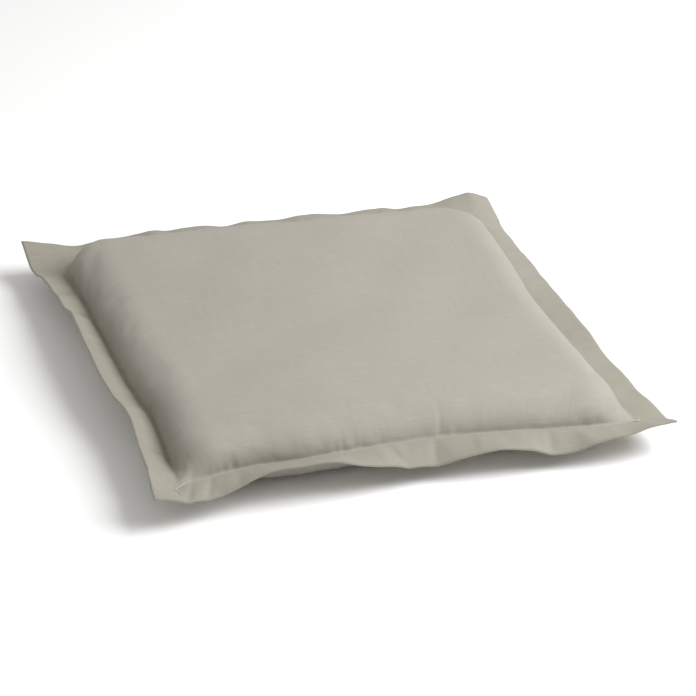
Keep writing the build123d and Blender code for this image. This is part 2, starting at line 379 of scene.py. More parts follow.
def cut_foam():
    """Polyurethane foam cut to a slab: cream, matt, with open cells about 0.6 mm across."""
    material, tree, shader = new_material("cut_foam", Roughness=0.95, Specular_IOR_Level=0.2)
    # Cells are drawn at 1.2 mm to show.
    cells = over_object(tree, "ShaderNodeTexVoronoi", Scale=1 / (1.2 * MM)).outputs[0]
    show_pattern(tree, shader, cells, "#D8CDA9", "#F2E9CC", 0.7, 0.4)
    return material


COTTON = woven_cotton()
COTTON_THREAD = spun_thread("spun_thread", "#A8A397", "#BBB6AA")
FRAYED_THREAD = spun_thread("frayed_thread", "#BEB9AD", "#D8D4CA")
ZIP_TAPE = zip_tape_cloth()
NYLON = nylon_monofilament()
ENAMEL = enamelled_zinc()
CASE_SHEET = soft_white("spunbonded_sheet", "#F2F0EA", "#E2DFD7", 500.0, 0.1, 0.0)
WADDING = soft_white("polyester_wadding", "#FAFAF8", "#E9E9E6", 160.0, 1.2, 0.3)
FOAM = cut_foam()


# ---------------------------------------------------------------- the cover's shape


# How far the filling pulls each side's seam in, in millimetres, along the side.
SEAM_PULL = {
    "near": [(-220, 0), (-200, 6), (-170, 11), (-140, 13), (-100, 10), (-70, 11), (-20, 13), (15, 14),
             (50, 12), (85, 9), (110, 7), (155, 3), (193, 0), (220, 0)],
    "far": [(-220, 0), (-160, 5), (-110, 8), (0, 11), (110, 8), (160, 5), (220, 0)],
    "left": [(-220, 0), (-205, 5), (-170, 7), (-140, 9), (-105, 10), (-80, 7), (-45, 4), (0, 3),
             (80, 3), (113, 4), (151, 4), (186, 2), (220, 0)],
    "right": [(-220, 0), (-170, 8), (-110, 13), (-50, 16), (0, 16), (60, 13), (110, 10), (170, 6),
              (220, 0)],
}

# How much the filling rises above or falls below an even top, along X, in millimetres.
FILLING = [(-250, 2), (-180, 3), (-110, 3), (-60, 3), (0, 2), (60, -1), (110, -3), (160, -3), (250, -1)]


def body_surface(u, v, up):
    """Points of the filled body's top or base over places u and v on the flat cloth."""
    run, inward, rise = TOP_PROFILE if up else BASE_PROFILE

    def across(place, other):
        """Where a flat place ends up: spread evenly at the seam, and down a wall away from it."""
        from_seam = CUT_HALF - np.abs(place)
        walled = SEAM_HALF - np.interp(from_seam, (0, *run[1:], CUT_HALF), (*inward, SEAM_HALF))
        even = np.abs(place) * SEAM_HALF / CUT_HALF
        share = smooth((CUT_HALF - np.abs(other)) / (0.9 * WALL_RUN))
        return np.sign(place) * (even + (walled - even) * share)

    def bow(place):
        return np.cos(place * math.pi / 2 / CUT_HALF)

    def pull(side, along):
        return wave(SEAM_PULL[side], along)

    def toward(place):
        """0 on the far half of the cushion, and 1 at the side itself."""
        return np.clip(place / SEAM_HALF, 0, 1) ** 1.5

    x, y = across(u, v), across(v, u)
    lift = np.interp(CUT_HALF - np.abs(u), run, rise) * np.interp(CUT_HALF - np.abs(v), run, rise)
    x, y = (
        x + pull("left", y) * toward(-x) - pull("right", y) * toward(x),
        y + pull("near", x) * toward(-y) - pull("far", x) * toward(y),
    )
    seam = SEAM_LOW + SEAM_RISE * (bow(u) + bow(v))
    if up:
        flat = CROWN - CLOTH - TOP_DOME + TOP_DOME * bow(u) * bow(v)
        # The filling is more uneven toward the far side.
        flat = flat + wave(FILLING, x) * (0.6 + y / 0.5)
        flat = flat - SLACK_CORNER * (np.maximum(u, 0) * np.maximum(v, 0) / CUT_HALF**2) ** 4
    else:
        lift = lift + (1 - lift) * held_flat(x, y)
        flat = CLOTH + valley(y)
    return np.stack([x, y, seam + (flat - seam) * lift], -1)


def valley(y):
    """How far the zip holds the base up off the floor."""
    return VALLEY * smooth((VALLEY_MOUTH - np.abs(y - ZIP_Y)) / (VALLEY_MOUTH - VALLEY_TOP))


def held_flat(x, y):
    """1 where the zip's stiff tape holds the base flat, past the start of the wall, and 0 elsewhere."""
    before_end = (TAPE_END + 6 * MM - np.abs(x)) / (5 * MM)
    beside = (34 * MM - np.abs(y - ZIP_Y)) / (18 * MM)
    return smooth(before_end) * smooth(beside)


def closed_bag(top, base):
    """The body as one closed mesh: its points and faces, and the point numbers of top and base."""
    count = len(top)
    numbers = np.arange(count * count).reshape(count, count)
    inner = np.zeros((count, count), bool)
    inner[1:-1, 1:-1] = True
    base_numbers = numbers.copy()
    base_numbers[inner] = count * count + np.arange(inner.sum())
    points = np.concatenate([top.reshape(-1, 3), base[inner]])
    faces = quads(numbers) + quads(base_numbers, turned=True)
    return points, faces, numbers, base_numbers


def inflated(points, faces, held):
    """Where the points of a closed mesh of cloth settle under pressure, with some of them held."""
    bag = new_object("bag", points, faces)
    group = bag.vertex_groups.new(name="held")
    group.add([int(k) for k in held], 1.0, "REPLACE")
    cloth = bag.modifiers.new("cloth", "CLOTH")
    settings = cloth.settings
    settings.quality = 5
    settings.mass = 0.02
    settings.tension_stiffness = 20
    settings.compression_stiffness = 12
    settings.shear_stiffness = 6
    settings.bending_stiffness = CLOTH_BENDING
    settings.shrink_min = -CLOTH_SLACK
    settings.use_pressure = True
    settings.uniform_pressure_force = CLOTH_PRESSURE
    settings.vertex_group_mass = "held"
    settings.effector_weights.gravity = 0
    cloth.collision_settings.use_collision = False
    for count_up in range(1, SETTLE_FRAMES + 1):
        bpy.context.scene.frame_set(count_up)
    graph = bpy.context.evaluated_depsgraph_get()
    mesh = bag.evaluated_get(graph).to_mesh()
    settled = np.empty(len(points) * 3)
    mesh.vertices.foreach_get("co", settled)
    bpy.data.objects.remove(bag)
    bpy.context.scene.frame_set(1)
    return settled.reshape(-1, 3)


def settle(top, base):
    """Lets the filled cover settle as cloth, held at its seam and where it rests on the floor."""
    points, faces, numbers, base_numbers = closed_bag(top, base)
    on_seam = np.ones(numbers.shape, bool)
    on_seam[1:-1, 1:-1] = False
    on_floor = ~on_seam & (base[..., 2] < CLOTH + valley(base[..., 1]) + 0.2 * MM)
    held = np.concatenate([numbers[on_seam], base_numbers[on_floor]])
    move = inflated(points, faces, held) - points

    far = np.linalg.norm(move, axis=1, keepdims=True)
    move *= SETTLE_CAP * np.tanh(far / SETTLE_CAP) / np.maximum(far, 1e-9)
    from_seam = SEAM_HALF - np.abs(points[:, :2]).max(axis=1, keepdims=True)
    over_foam = smooth((from_seam - 8 * MM) / (50 * MM))
    points = points + move * (WALL_SHARE + (FOAM_SHARE - WALL_SHARE) * over_foam)
    top = points[numbers]
    base = points[base_numbers]
    base[..., 2] = np.maximum(base[..., 2], CLOTH)
    return top, base


# The height of the flange's outer edge along each side, in millimetres: along X for the near
# and far sides, and along Y for the left and right ones.
NEAR_EDGE = [
    (-250, 34), (-222, 29), (-205, 24), (-188, 22), (-174, 26), (-160, 31), (-140, 37), (-120, 40),
    (-80, 41), (-60, 35), (-40, 29), (-20, 24), (0, 20), (22, 16), (45, 23), (62, 27), (84, 30), (100, 27),
    (120, 20), (140, 15), (160, 20), (182, 29), (205, 31), (250, 40),
]
FAR_EDGE = [
    (-250, 43), (-225, 34), (-200, 27), (-170, 31), (-140, 34), (-118, 38), (-105, 34), (-85, 37),
    (-60, 36), (-42, 32), (-22, 37), (10, 35), (40, 36), (65, 33), (84, 29), (110, 32), (128, 30),
    (145, 26), (165, 27), (182, 26), (205, 31), (225, 35), (250, 33),
]
LEFT_EDGE = [
    (-250, 35), (-222, 42), (-195, 40), (-165, 41), (-120, 45), (-80, 43), (-40, 44), (0, 46),
    (50, 47), (82, 48), (100, 42), (125, 40), (160, 37), (185, 33), (202, 27), (225, 27), (250, 37),
]
RIGHT_EDGE = [
    (-250, 36), (-222, 24), (-195, 27), (-140, 29), (-100, 28), (-60, 35), (-20, 33), (20, 30),
    (60, 26), (100, 23), (140, 18), (180, 14), (215, 10), (250, 19),
]

# How far the flange's tips stand in from a square corner, in millimetres: along X and along Y.
TIPS = {(-1, -1): (3, 1), (1, -1): (1, 1), (-1, 1): (-1, -1), (1, 1): (8, 3)}


def with_flange(body):
    """The body's grid with the flange added all round it, out to its wavy edge."""
    cells = FLANGE_CELLS
    count = len(body)
    full = np.zeros((count + 2 * cells, count + 2 * cells, 3))
    inner = slice(cells, cells + count)
    full[inner, inner] = body
    sides = (
        (body[:, 0], NEAR_EDGE, 0, -1),
        (body[:, -1], FAR_EDGE, 0, 1),
        (body[0], LEFT_EDGE, 1, -1),
        (body[-1], RIGHT_EDGE, 1, 1),
    )
    for seam, edge, along, sign in sides:
        lift = wave(edge, seam[:, along]) - seam[:, 2]
        reach = np.sqrt(np.maximum(FLANGE**2 - lift**2, (FLANGE / 2) ** 2))
        for k in range(1, cells + 1):
            share = k / cells
            row = seam.copy()
            row[:, 1 - along] += sign * reach * share
            row[:, 2] += lift * share**FLANGE_CURL
            place = cells - k if sign < 0 else cells + count - 1 + k
            full[(inner, place) if along == 0 else (place, inner)] = row
    for sign_x, x_edge in ((-1, LEFT_EDGE), (1, RIGHT_EDGE)):
        for sign_y, y_edge in ((-1, NEAR_EDGE), (1, FAR_EDGE)):
            fill_corner(full, (sign_x, sign_y), (x_edge, y_edge))
    return full


def fill_corner(full, signs, edges):
    """The square of flange outside a seam corner, blended from its four sides."""
    cells = FLANGE_CELLS
    last = len(full) - 1

    def at(a, b):
        """The grid place a cells out from the seam corner in X and b cells in Y."""
        return tuple(cells - k if s < 0 else last - cells + k for k, s in zip((a, b), signs))

    def outer(k, axis):
        """A point of the outer edge, k cells past the seam corner along the other axis."""
        start = full[at(cells, 0) if axis == 0 else at(0, cells)]
        point = start + (tip - start) * k / cells
        point[2] = wave(edges[axis], signs[1 - axis] * (SEAM_HALF + FLANGE * k / cells))
        return point

    height = (wave(edges[0], signs[1] * SIDE_HALF) + wave(edges[1], signs[0] * SIDE_HALF)) / 2
    in_x, in_y = TIPS[signs]
    tip = np.array([signs[0] * (SIDE_HALF - in_x * MM), signs[1] * (SIDE_HALF - in_y * MM), height])
    seam, end_x, end_y = full[at(0, 0)].copy(), full[at(cells, 0)].copy(), full[at(0, cells)].copy()
    for a in range(1, cells + 1):
        for b in range(1, cells + 1):
            s, t = a / cells, b / cells
            ruled = (1 - t) * full[at(a, 0)] + t * outer(a, 1)
            ruled += (1 - s) * full[at(0, b)] + s * outer(b, 0)
            plain = (1 - s) * (1 - t) * seam + s * (1 - t) * end_x + (1 - s) * t * end_y
            full[at(a, b)] = ruled - plain - s * t * tip


def quads(numbers, turned=False):
    """Quads over a grid of vertex numbers, left out where a number is negative."""
    faces = []
    corners = (numbers[:-1, :-1], numbers[1:, :-1], numbers[1:, 1:], numbers[:-1, 1:])
    for a, b, c, d in zip(*(corner.ravel() for corner in corners)):
        if min(a, b, c, d) >= 0:
            faces.append((a, d, c, b) if turned else (a, b, c, d))
    return faces


def cut_places():
    """The grid lines' places on the flat cloth, out to the flange's edge."""
    inner = np.linspace(-CUT_HALF, CUT_HALF, BODY_CELLS + 1)
    outer = CUT_HALF + FLANGE * np.arange(1, FLANGE_CELLS + 1) / FLANGE_CELLS
    return np.concatenate([-outer[::-1], inner, outer])


def grid_normals(points, up):
    """The outward normals of a grid of points, which faces up or down."""
    normal = np.cross(np.gradient(points, axis=0), np.gradient(points, axis=1)) * (1 if up else -1)
    return normal / np.maximum(np.linalg.norm(normal, axis=-1, keepdims=True), 1e-12)


class Face:
    """One face of the cover as a grid of points over the flat cloth, read anywhere between them."""

    def __init__(self, body, up):
        self.points = finer(finer(with_flange(body), 0), 1)
        self.cut = finer(cut_places(), 0)
        self.up = up

    def normals(self):
        return grid_normals(self.points, self.up)

    def read(self, field, u, v):
        """A field over the grid at one flat place, by bilinear interpolation."""
        i = int(np.clip(np.searchsorted(self.cut, u) - 1, 0, len(self.cut) - 2))
        j = int(np.clip(np.searchsorted(self.cut, v) - 1, 0, len(self.cut) - 2))
        s = (u - self.cut[i]) / (self.cut[i + 1] - self.cut[i])
        t = (v - self.cut[j]) / (self.cut[j + 1] - self.cut[j])
        return (
            (1 - s) * (1 - t) * field[i, j]
            + s * (1 - t) * field[i + 1, j]
            + (1 - s) * t * field[i, j + 1]
            + s * t * field[i + 1, j + 1]
        )


def cloth_piece(name, points, cut_u, cut_v, up):
    """A panel of the cover from a grid of points, as thick as its cloth."""
    numbers = np.arange(points.shape[0] * points.shape[1]).reshape(points.shape[:2])
    places = np.stack(np.meshgrid(cut_u, cut_v, indexing="ij"), -1).reshape(-1, 2)
    piece = new_object(name, points.reshape(-1, 3), quads(numbers, turned=not up), places)
    thick = piece.modifiers.new("cloth", "SOLIDIFY")
    thick.thickness = CLOTH
    thick.offset = 1
    return piece


# ---------------------------------------------------------------- making the cover

# Gathers in the wall beside the seam: side, place along it, half width, reach up the wall, depth.
GATHERS = [
    ("near", -204, 1.8, 14, 0.9), ("near", -187, 2.0, 16, 0.9), ("near", -179, 1.8, 14, 0.8),
    ("near", -172, 2.0, 18, 1.3), ("near", -162, 2.0, 24, 1.5), ("near", -152, 1.8, 14, 0.6),
    ("near", -104, 2.2, 12, 0.4), ("near", -93, 2.0, 14, 0.4), ("near", -78, 3.4, 24, 0.7),
    ("near", -68, 2.2, 20, 0.7), ("near", -59, 2.0, 30, 1.3), ("near", -47, 2.0, 26, 1.0),
    ("near", -40, 3.4, 22, 0.6), ("near", -22, 2.2, 16, 0.4), ("near", -8, 2.2, 14, 0.4),
    ("near", 33, 2.4, 54, 1.4), ("near", 39, 2.2, 22, 0.8), ("near", 49, 2.0, 16, 0.9),
    ("near", 68, 2.0, 14, 0.7), ("near", 120, 2.4, 12, 0.4), ("near", 182, 2.0, 12, 0.8),
    ("left", -158, 2.2, 24, 0.8), ("left", -98, 2.6, 42, 1.0), ("left", -60, 3.0, 26, 0.5),
    ("left", 30, 3.0, 30, 0.5), ("left", 105, 3.0, 24, 0.6), ("left", 170, 2.6, 18, 0.8),
    ("right", -150, 2.6, 20, 0.6), ("right", 20, 3.0, 22, 0.5), ("right", 150, 2.6, 20, 0.7),
    ("far", -140, 2.6, 20, 0.7), ("far", 40, 3.0, 24, 0.6), ("far", 150, 2.6, 18, 0.7),
]

# Folds across the flange: side, place along the seam, slant, half width, height at the edge.
FLANGE_FOLDS = [
    ("near", -203, -14, 2.4, -1.8), ("near", -184, -13, 2.4, -1.8), ("near", -158, -8, 4, -1.0),
    ("near", -18, 12, 2.4, -1.6), ("near", 27, -6, 2.4, -1.6),
    ("near", -32, 12, 5, 1.6), ("near", 105, 8, 5, 1.2), ("near", 136, -6, 2.6, -1.4),
    ("near", 160, 10, 4, 1.4), ("left", -167, -1, 2.4, -1.6), ("left", -176, 2, 4, 1.0),
    ("left", 40, 3, 5, 1.0), ("left", 150, -4, 5, -1.8), ("left", 95, 5, 5, -1.4),
    ("right", -175, 6, 5, -1.5), ("right", -60, -6, 6, 1.2), ("right", 70, 5, 6, -1.4),
    ("right", 170, -5, 5, 1.5), ("far", -120, 5, 5, 1.6), ("far", 20, -5, 6, -1.4),
    ("far", 120, 6, 5, 1.5),
]


def loose_folds(seed):
    """Shallow ripples all along the flange."""
    scatter = random.Random(seed)
    made = []
    for side in ("near", "far", "left", "right"):
        place = -225.0
        while place < 225:
            place += scatter.uniform(9, 22)
            height = scatter.choice((-1, 1)) * scatter.uniform(0.3, 0.9)
            made.append((side, place, scatter.uniform(-8, 8), scatter.uniform(2.6, 6), height))
    return made


def seam_frame(side, cut):
    """Places along a side's seam and distances in from it, over the whole grid."""
    u, v = np.meshgrid(cut, cut, indexing="ij")
    along, across = (u, v) if side in ("near", "far") else (v, u)
    sign = -1 if side in ("near", "left") else 1
    return along * SEAM_HALF / CUT_HALF, CUT_HALF - sign * across


def loose_gathers(seed):
    """Small gathers scattered along every side."""
    scatter = random.Random(seed)
    made = []
    for side in ("near", "far", "left", "right"):
        place = -212.0
        while place < 212:
            place += scatter.uniform(6, 15)
            width, reach = scatter.uniform(1.8, 2.8), scatter.uniform(7, 18)
            made.append((side, place, width, reach, scatter.uniform(0.1, 0.4)))
    return made


def gathered(face, gathers):
    """Presses gathers into the wall above or below the seam, each along its nearest grid line."""
    normal = face.normals()
    lines = face.cut * SEAM_HALF / CUT_HALF
    depth = np.zeros(face.points.shape[:2])
    for side, place, width, reach, deep in gathers:
        along, inward = seam_frame(side, face.cut)
        fade = np.clip(1 - inward / (reach * MM), 0, 1) ** 1.3 * smooth(inward / (2.5 * MM))
        line = lines[np.argmin(np.abs(lines - place * MM))]
        depth += deep * MM * np.exp(-(((along - line) / (width * MM)) ** 2)) * fade
    face.points = face.points - normal * depth[..., None]


def folded(face, folds):
    """Bends folds across the flange, deepest two thirds of the way to its edge."""
    for side, place, slant, width, high in folds:
        along, inward = seam_frame(side, face.cut)
        share = np.clip(-inward / FLANGE, 0, 1)
        centre = (place + slant * share) * MM
        bend = np.exp(-(((along - centre) / (width * MM * (1 + share))) ** 2))
        face.points[..., 2] += high * MM * np.sin(0.8 * math.pi * share) * bend


def uneven(face, size, seed):
    """Soft swellings in the padding, faded out at the seam and beyond it."""
    scatter = np.random.default_rng(seed)
    u, v = np.meshgrid(face.cut, face.cut, indexing="ij")
    inward = np.minimum(CUT_HALF - np.abs(u), CUT_HALF - np.abs(v))
    lumps = np.zeros_like(u)
    for _ in range(14):
        turn_u, turn_v = scatter.uniform(-70, 70, 2)
        lumps += np.sin(turn_u * u + turn_v * v + scatter.uniform(0, 6)) / 5
    face.points = face.points + face.normals() * (size * lumps * smooth(inward / (25 * MM)))[..., None]


def zip_row(face):
    """The grid row that runs along the zip, straightened on to the zip's line."""
    middle = len(face.cut) // 2
    row = int(np.argmin(np.abs(face.points[middle, :, 1] - ZIP_Y)))
    near = np.exp(-(((face.cut - face.cut[row]) / (30 * MM)) ** 2))
    face.points[..., 1] += (ZIP_Y - face.points[:, row, 1])[:, None] * near[None, :]
    return row


def base_panel(name, node, face, row, front):
    """The base on one side of the zip, its edge folded back along the slot."""
    rows = slice(0, row + 1) if front else slice(row, None)
    points, cut_v = face.points[:, rows].copy(), face.cut[rows]
    side = -1 if front else 1
    off = np.abs(points[..., 1] - ZIP_Y)
    open_here = smooth((SLOT_END + 1.5 * MM - np.abs(points[..., 0])) / (3 * MM))
    near = np.clip(1 - off / (4 * SLOT_HALF), 0, 1)
    points[..., 1] += side * SLOT_HALF * near * open_here
    edge = np.clip(1 - np.abs(points[..., 1] - ZIP_Y - side * SLOT_HALF * open_here) / (2 * MM), 0, 1)
    points[..., 2] += 0.5 * MM * edge**2
    piece = cloth_piece(name, points, face.cut, cut_v, False)
    finish(piece, "cushion", COTTON, node)
    return piece


flat_places = np.linspace(-CUT_HALF, CUT_HALF, BODY_CELLS + 1)
flat_u, flat_v = np.meshgrid(flat_places, flat_places, indexing="ij")
top_body = body_surface(flat_u, flat_v, True)
base_body = body_surface(flat_u, flat_v, False)
top_body, base_body = settle(top_body, base_body)

top_face = Face(top_body, True)
uneven(top_face, 0.8 * MM, seed=3)
gathered(top_face, GATHERS + loose_gathers(seed=11))
folded(top_face, FLANGE_FOLDS + loose_folds(seed=5))
top_panel = cloth_piece("top_panel", top_face.points, top_face.cut, top_face.cut, True)
finish(top_panel, "cushion", COTTON, "cover_top_panel")

base_face = Face(base_body, False)
gathered(base_face, loose_gathers(seed=12))
folded(base_face, FLANGE_FOLDS + loose_folds(seed=5))
row_of_zip = zip_row(base_face)
base_panel("base_front_panel", "cover_base_front_panel", base_face, row_of_zip, front=True)
base_panel("base_rear_panel", "cover_base_rear_panel", base_face, row_of_zip, front=False)


# ---------------------------------------------------------------- thread


def copied_along(name, source, frames):
    """One mesh of copies of a modelled shape, one for each 4 by 4 matrix. The shape is removed."""
    mesh = source.data
    shape = np.array([v.co for v in mesh.vertices])
    shape = np.concatenate([shape, np.ones((len(shape), 1))], 1)
    faces = [tuple(p.vertices) for p in mesh.polygons]
    points, all_faces = [], []
    for k, matrix in enumerate(frames):
        points.append((shape @ np.array(matrix).T)[:, :3])
        all_faces += [tuple(i + k * len(shape) for i in face) for face in faces]
    bpy.data.objects.remove(source)
    return new_object(name, np.concatenate(points), all_faces)


def axes_matrix(along, up, place, length=1.0):
    """A matrix that lays X along a direction, stretched to a length, with Z as near up as it can."""
    along = along / np.linalg.norm(along)
    side = np.cross(up, along)
    side = side / np.linalg.norm(side)
    matrix = np.eye(4)
    matrix[:3, 0], matrix[:3, 1], matrix[:3, 2] = along * length, side, np.cross(along, side)
    matrix[:3, 3] = place
    return matrix


def one_stitch():
    """A stitch 1 metre long lying along X: plump in the middle, diving into the cloth at its ends."""
    bpy.ops.object.select_all(action="DESELECT")
    bpy.ops.mesh.primitive_uv_sphere_add(segments=6, ring_count=6, radius=0.5)
    stitch = bpy.context.object
    bpy.ops.object.mode_set(mode="EDIT")
    bpy.ops.mesh.select_all(action="SELECT")
    bpy.ops.transform.resize(value=(THREAD, THREAD, 1))
    bpy.ops.object.mode_set(mode="OBJECT")
    for vertex in stitch.data.vertices:
        x, y, z = vertex.co
        vertex.co = (z, y, -x)
    return stitch


def stitch_row(name, face, lines, length, gap, node, lift=CLOTH):
    """Stitches along lines of flat places, lying on one face of the cover."""
    normal = face.normals()
    frames = []
    for start, end in lines:
        run = math.dist(start, end)
        count = int(run / (length + gap))
        for k in range(count):
            ends = []
            for t in (k / count, (k + length / (length + gap)) / count):
                u, v = (start[i] + (end[i] - start[i]) * t for i in (0, 1))
                ends.append(face.read(face.points, u, v) + lift * face.read(normal, u, v))
            up = face.read(normal, u, v)
            frames.append(
                axes_matrix(ends[1] - ends[0], up, (ends[0] + ends[1]) / 2, math.dist(*ends))
            )
    row = copied_along(name, one_stitch(), frames)
    return finish(row, "cushion", COTTON_THREAD, node)


def square(half):
    """The four sides of a square of flat places."""
    corners = [(-half, -half), (half, -half), (half, half), (-half, half)]
    return list(zip(corners, corners[1:] + corners[:1]))


def thread_end(name, face, route):
    """A loose end of thread along a route of (place u, place v, height above the cloth) in millimetres."""
    normal = face.normals()
    curve = bpy.data.curves.new(name, "CURVE")
    curve.dimensions = "3D"
    curve.bevel_depth = LOOSE_THREAD / 2
    curve.bevel_resolution = 1
    spline = curve.splines.new("NURBS")
    spline.points.add(len(route) - 1)
    for point, (u, v, height) in zip(spline.points, route):
        place = face.read(face.points, u * MM, v * MM)
        up = face.read(normal, u * MM, v * MM)
        point.co = (*(place + up * (CLOTH + LOOSE_THREAD / 2 + height * MM)), 1)
    spline.order_u = 3
    spline.use_endpoint_u = True
    curve.use_fill_caps = True
    piece = bpy.data.objects.new(name, curve)
    bpy.context.collection.objects.link(piece)
    return finish(piece, "cushion", FRAYED_THREAD)


TOPSTITCH_CUT = CUT_HALF + TOPSTITCH_OUT
LONG, APART = 2.8 * MM, 0.7 * MM
stitch_row("topstitch_upper", top_face, square(TOPSTITCH_CUT), LONG, APART, "topstitch_upper_thread")
stitch_row("topstitch_lower", base_face, square(TOPSTITCH_CUT), LONG, APART, "topstitch_lower_thread")
stitch_row("edge_seam", top_face, square(EDGE_CUT - 1.5 * MM), 2.4 * MM, 0.3 * MM, "edge_seam_thread", 0)

# Each corner is locked by sewing back over the last few stitches.
backtacks = []
for corner_x in (-TOPSTITCH_CUT, TOPSTITCH_CUT):
    for corner_y in (-TOPSTITCH_CUT, TOPSTITCH_CUT):
        for aside in (-0.6 * MM, 0.6 * MM):
            start_x = corner_x - math.copysign(9 * MM, corner_x)
            backtacks.append(((start_x, corner_y + aside), (corner_x, corner_y + aside)))
stitch_row("backtacks", top_face, backtacks, 2.6 * MM, 0.1 * MM, "corner_backtacks", CLOTH + 0.2 * MM)

# Ends of thread left long at the two near corners, from the left corner's last stitch.
CORNER = TOPSTITCH_CUT / MM
thread_end(
    "near_left_long_end",
    top_face,
    [(-CORNER - 2, -CORNER - 6, 0), (-CORNER + 3, -CORNER - 3, 0.8), (-CORNER + 8, -CORNER - 1, 1.0),
     (-CORNER + 12, -CORNER + 1, 0.5), (-CORNER + 17, -CORNER + 3, 0.8)],
)
thread_end(
    "near_left_short_end",
    top_face,
    [(-CORNER - 2, -CORNER - 6, 0.4), (-CORNER, -CORNER - 9, 0.5), (-CORNER + 1, -CORNER - 12, 0.2),
     (-CORNER + 2, -CORNER - 15, 0.5)],
)
thread_end(
    "near_right_end",
    top_face,
    [(CORNER - 5, -CORNER + 1, 0.3), (CORNER - 2, -CORNER - 0.5, 1.0), (CORNER + 1, -CORNER - 2, 0.3),
     (CORNER + 2, -CORNER + 0.5, 1.2), (CORNER + 4, -CORNER + 2, 0.4)],
)


# ---------------------------------------------------------------- zip


def zip_tape(name, node, side):
    """One of the zip's tapes: a flat woven strip, rippled a little away from the coil and raised past the
    slot's ends.
    """
    low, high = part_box(node)
    bpy.ops.object.select_all(action="DESELECT")
    bpy.ops.mesh.primitive_grid_add(
        x_subdivisions=134, y_subdivisions=8, size=1, location=(0, (low.y + high.y) / 2, low.z)
    )
    tape = bpy.context.object
    tape.name = tape.data.name = name
    tape.scale = (high.x - low.x, high.y - low.y, 1)
    bpy.ops.object.transform_apply(location=True, rotation=False, scale=True)
    for vertex in tape.data.vertices:
        slack = math.sin(vertex.co.x * 90) + math.sin(vertex.co.x * 37 + side)
        vertex.co.z += 0.05 * MM * (1 + slack / 2) * smooth(abs(vertex.co.y - ZIP_Y) / (8 * MM))
        vertex.co.z += 0.4 * MM * smooth((abs(vertex.co.x) - SLOT_END - MM) / (4 * MM))
    bpy.ops.object.shade_smooth()
    thick = tape.modifiers.new("thickness", "SOLIDIFY")
    thick.thickness = 0.5 * MM
    thick.offset = 1
    return finish(tape, "cushion", ZIP_TAPE, node)


def zip_coil(name, node):
    """One row of nylon teeth: close oval turns of a single filament."""
    low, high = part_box(node)
    wire, pitch = 0.32 * MM, 1.5 * MM
    bpy.ops.object.select_all(action="DESELECT")
    bpy.ops.mesh.primitive_torus_add(
        major_segments=12, minor_segments=5, major_radius=(high.y - low.y) / 2 - wire, minor_radius=wire
    )
    turn = bpy.context.object
    bpy.ops.object.mode_set(mode="EDIT")
    bpy.ops.mesh.select_all(action="SELECT")
    flatten = (high.z - low.z) / (high.y - low.y)
    bpy.ops.transform.resize(value=(flatten, 1, 1))
    bpy.ops.object.mode_set(mode="OBJECT")
    lean = math.radians(14)
    frames = []
    for k in range(int((high.x - low.x - 2 * wire) / pitch)):
        place = (low.x + 2 * wire + k * pitch, (low.y + high.y) / 2, (low.z + high.z) / 2)
        # The turn lies flat, so it is stood up across the tape and leant along it.
        leant = Matrix.Translation(place) @ Matrix.Rotation(lean, 4, "Z")
        frames.append(leant @ Matrix.Rotation(math.pi / 2, 4, "Y"))
    return finish(copied_along(name, turn, frames), "cushion", NYLON, node)


def zip_stitching(name, node, lines, length, gap):
    """Stitches under the base that hold the zip, along lines of points."""
    frames = []
    down = np.array([0, 0, -1.0])
    for start, end in lines:
        start, end = np.array(start), np.array(end)
        count = max(1, int(math.dist(start, end) / (length + gap)))
        for k in range(count):
            middle = start + (end - start) * (k + 0.5) / count
            span = length / (length + gap) * math.dist(start, end) / count
            frames.append(axes_matrix(end - start, down, middle, span))
    return finish(copied_along(name, one_stitch(), frames), "cushion", COTTON_THREAD, node)


zip_tape("front_tape", "zip_tape_front", 0)
zip_tape("rear_tape", "zip_tape_rear", 2)
zip_coil("front_coil", "zip_coil_front")
zip_coil("rear_coil", "zip_coil_rear")
STITCH_Z = VALLEY - 0.05 * MM
for name, y in (("front", ZIP_Y - STITCH_LINE), ("rear", ZIP_Y + STITCH_LINE)):
    ends = ((-SLOT_END, y, STITCH_Z), (SLOT_END, y, STITCH_Z))
    zip_stitching(f"{name}_zip_stitches", f"zip_stitching_{name}", [ends], 2.6 * MM, 0.6 * MM)
bars = []
for end in (-1, 1):
    for k in range(27):
        y = ZIP_Y - STITCH_LINE + 2 * STITCH_LINE * k / 26
        bars.append(((end * SLOT_END, y, STITCH_Z), (end * (SLOT_END + 2 * MM), y, STITCH_Z)))
zip_stitching("zip_end_bars", "zip_end_bartacks", bars, 1.9 * MM, 0.1 * MM)

for node_name, material in (
    ("zip_slider", ENAMEL),
    ("zip_pull_tab", ENAMEL),
    ("zip_top_stops", NYLON),
    ("zip_bottom_stop", NYLON),
):
    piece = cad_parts[node_name]
    for place in piece.material_slots:
        place.material = material


# ---------------------------------------------------------------- insert

CASE_DEPTH = 3 * MM  # from the cover to the insert's case, so that the cover's gathers clear it
CASE_CLOTH = 0.4 * MM
WADDING_DEPTH = CASE_DEPTH + CASE_CLOTH + 0.2 * MM
CASE_CORNER = 8 * MM  # how far the case's corners stand in from the cover's
SLIDER_ROOM = 1.2 * MM  # what the filling gives way above the zip, for the slider's upper plate


def inner_layer(up, depth):
    """The body's top or base taken in by a depth all round, and up over the zip on the base."""
    middle, half = (top_body + base_body) / 2, (top_body - base_body) / 2
    thickness = np.linalg.norm(half, axis=-1, keepdims=True)
    half = half * np.clip(1 - depth / np.maximum(thickness, 1e-9), 0, 1)
    points = middle + half if up else middle - half
    corner = np.abs(flat_u * flat_v / CUT_HALF**2) ** 8
    points[..., :2] *= (1 - (depth + CASE_CORNER * corner) / SEAM_HALF)[..., None]
    if not up:
        points[..., 2] += SLIDER_ROOM * valley(points[..., 1]) / VALLEY
    return points


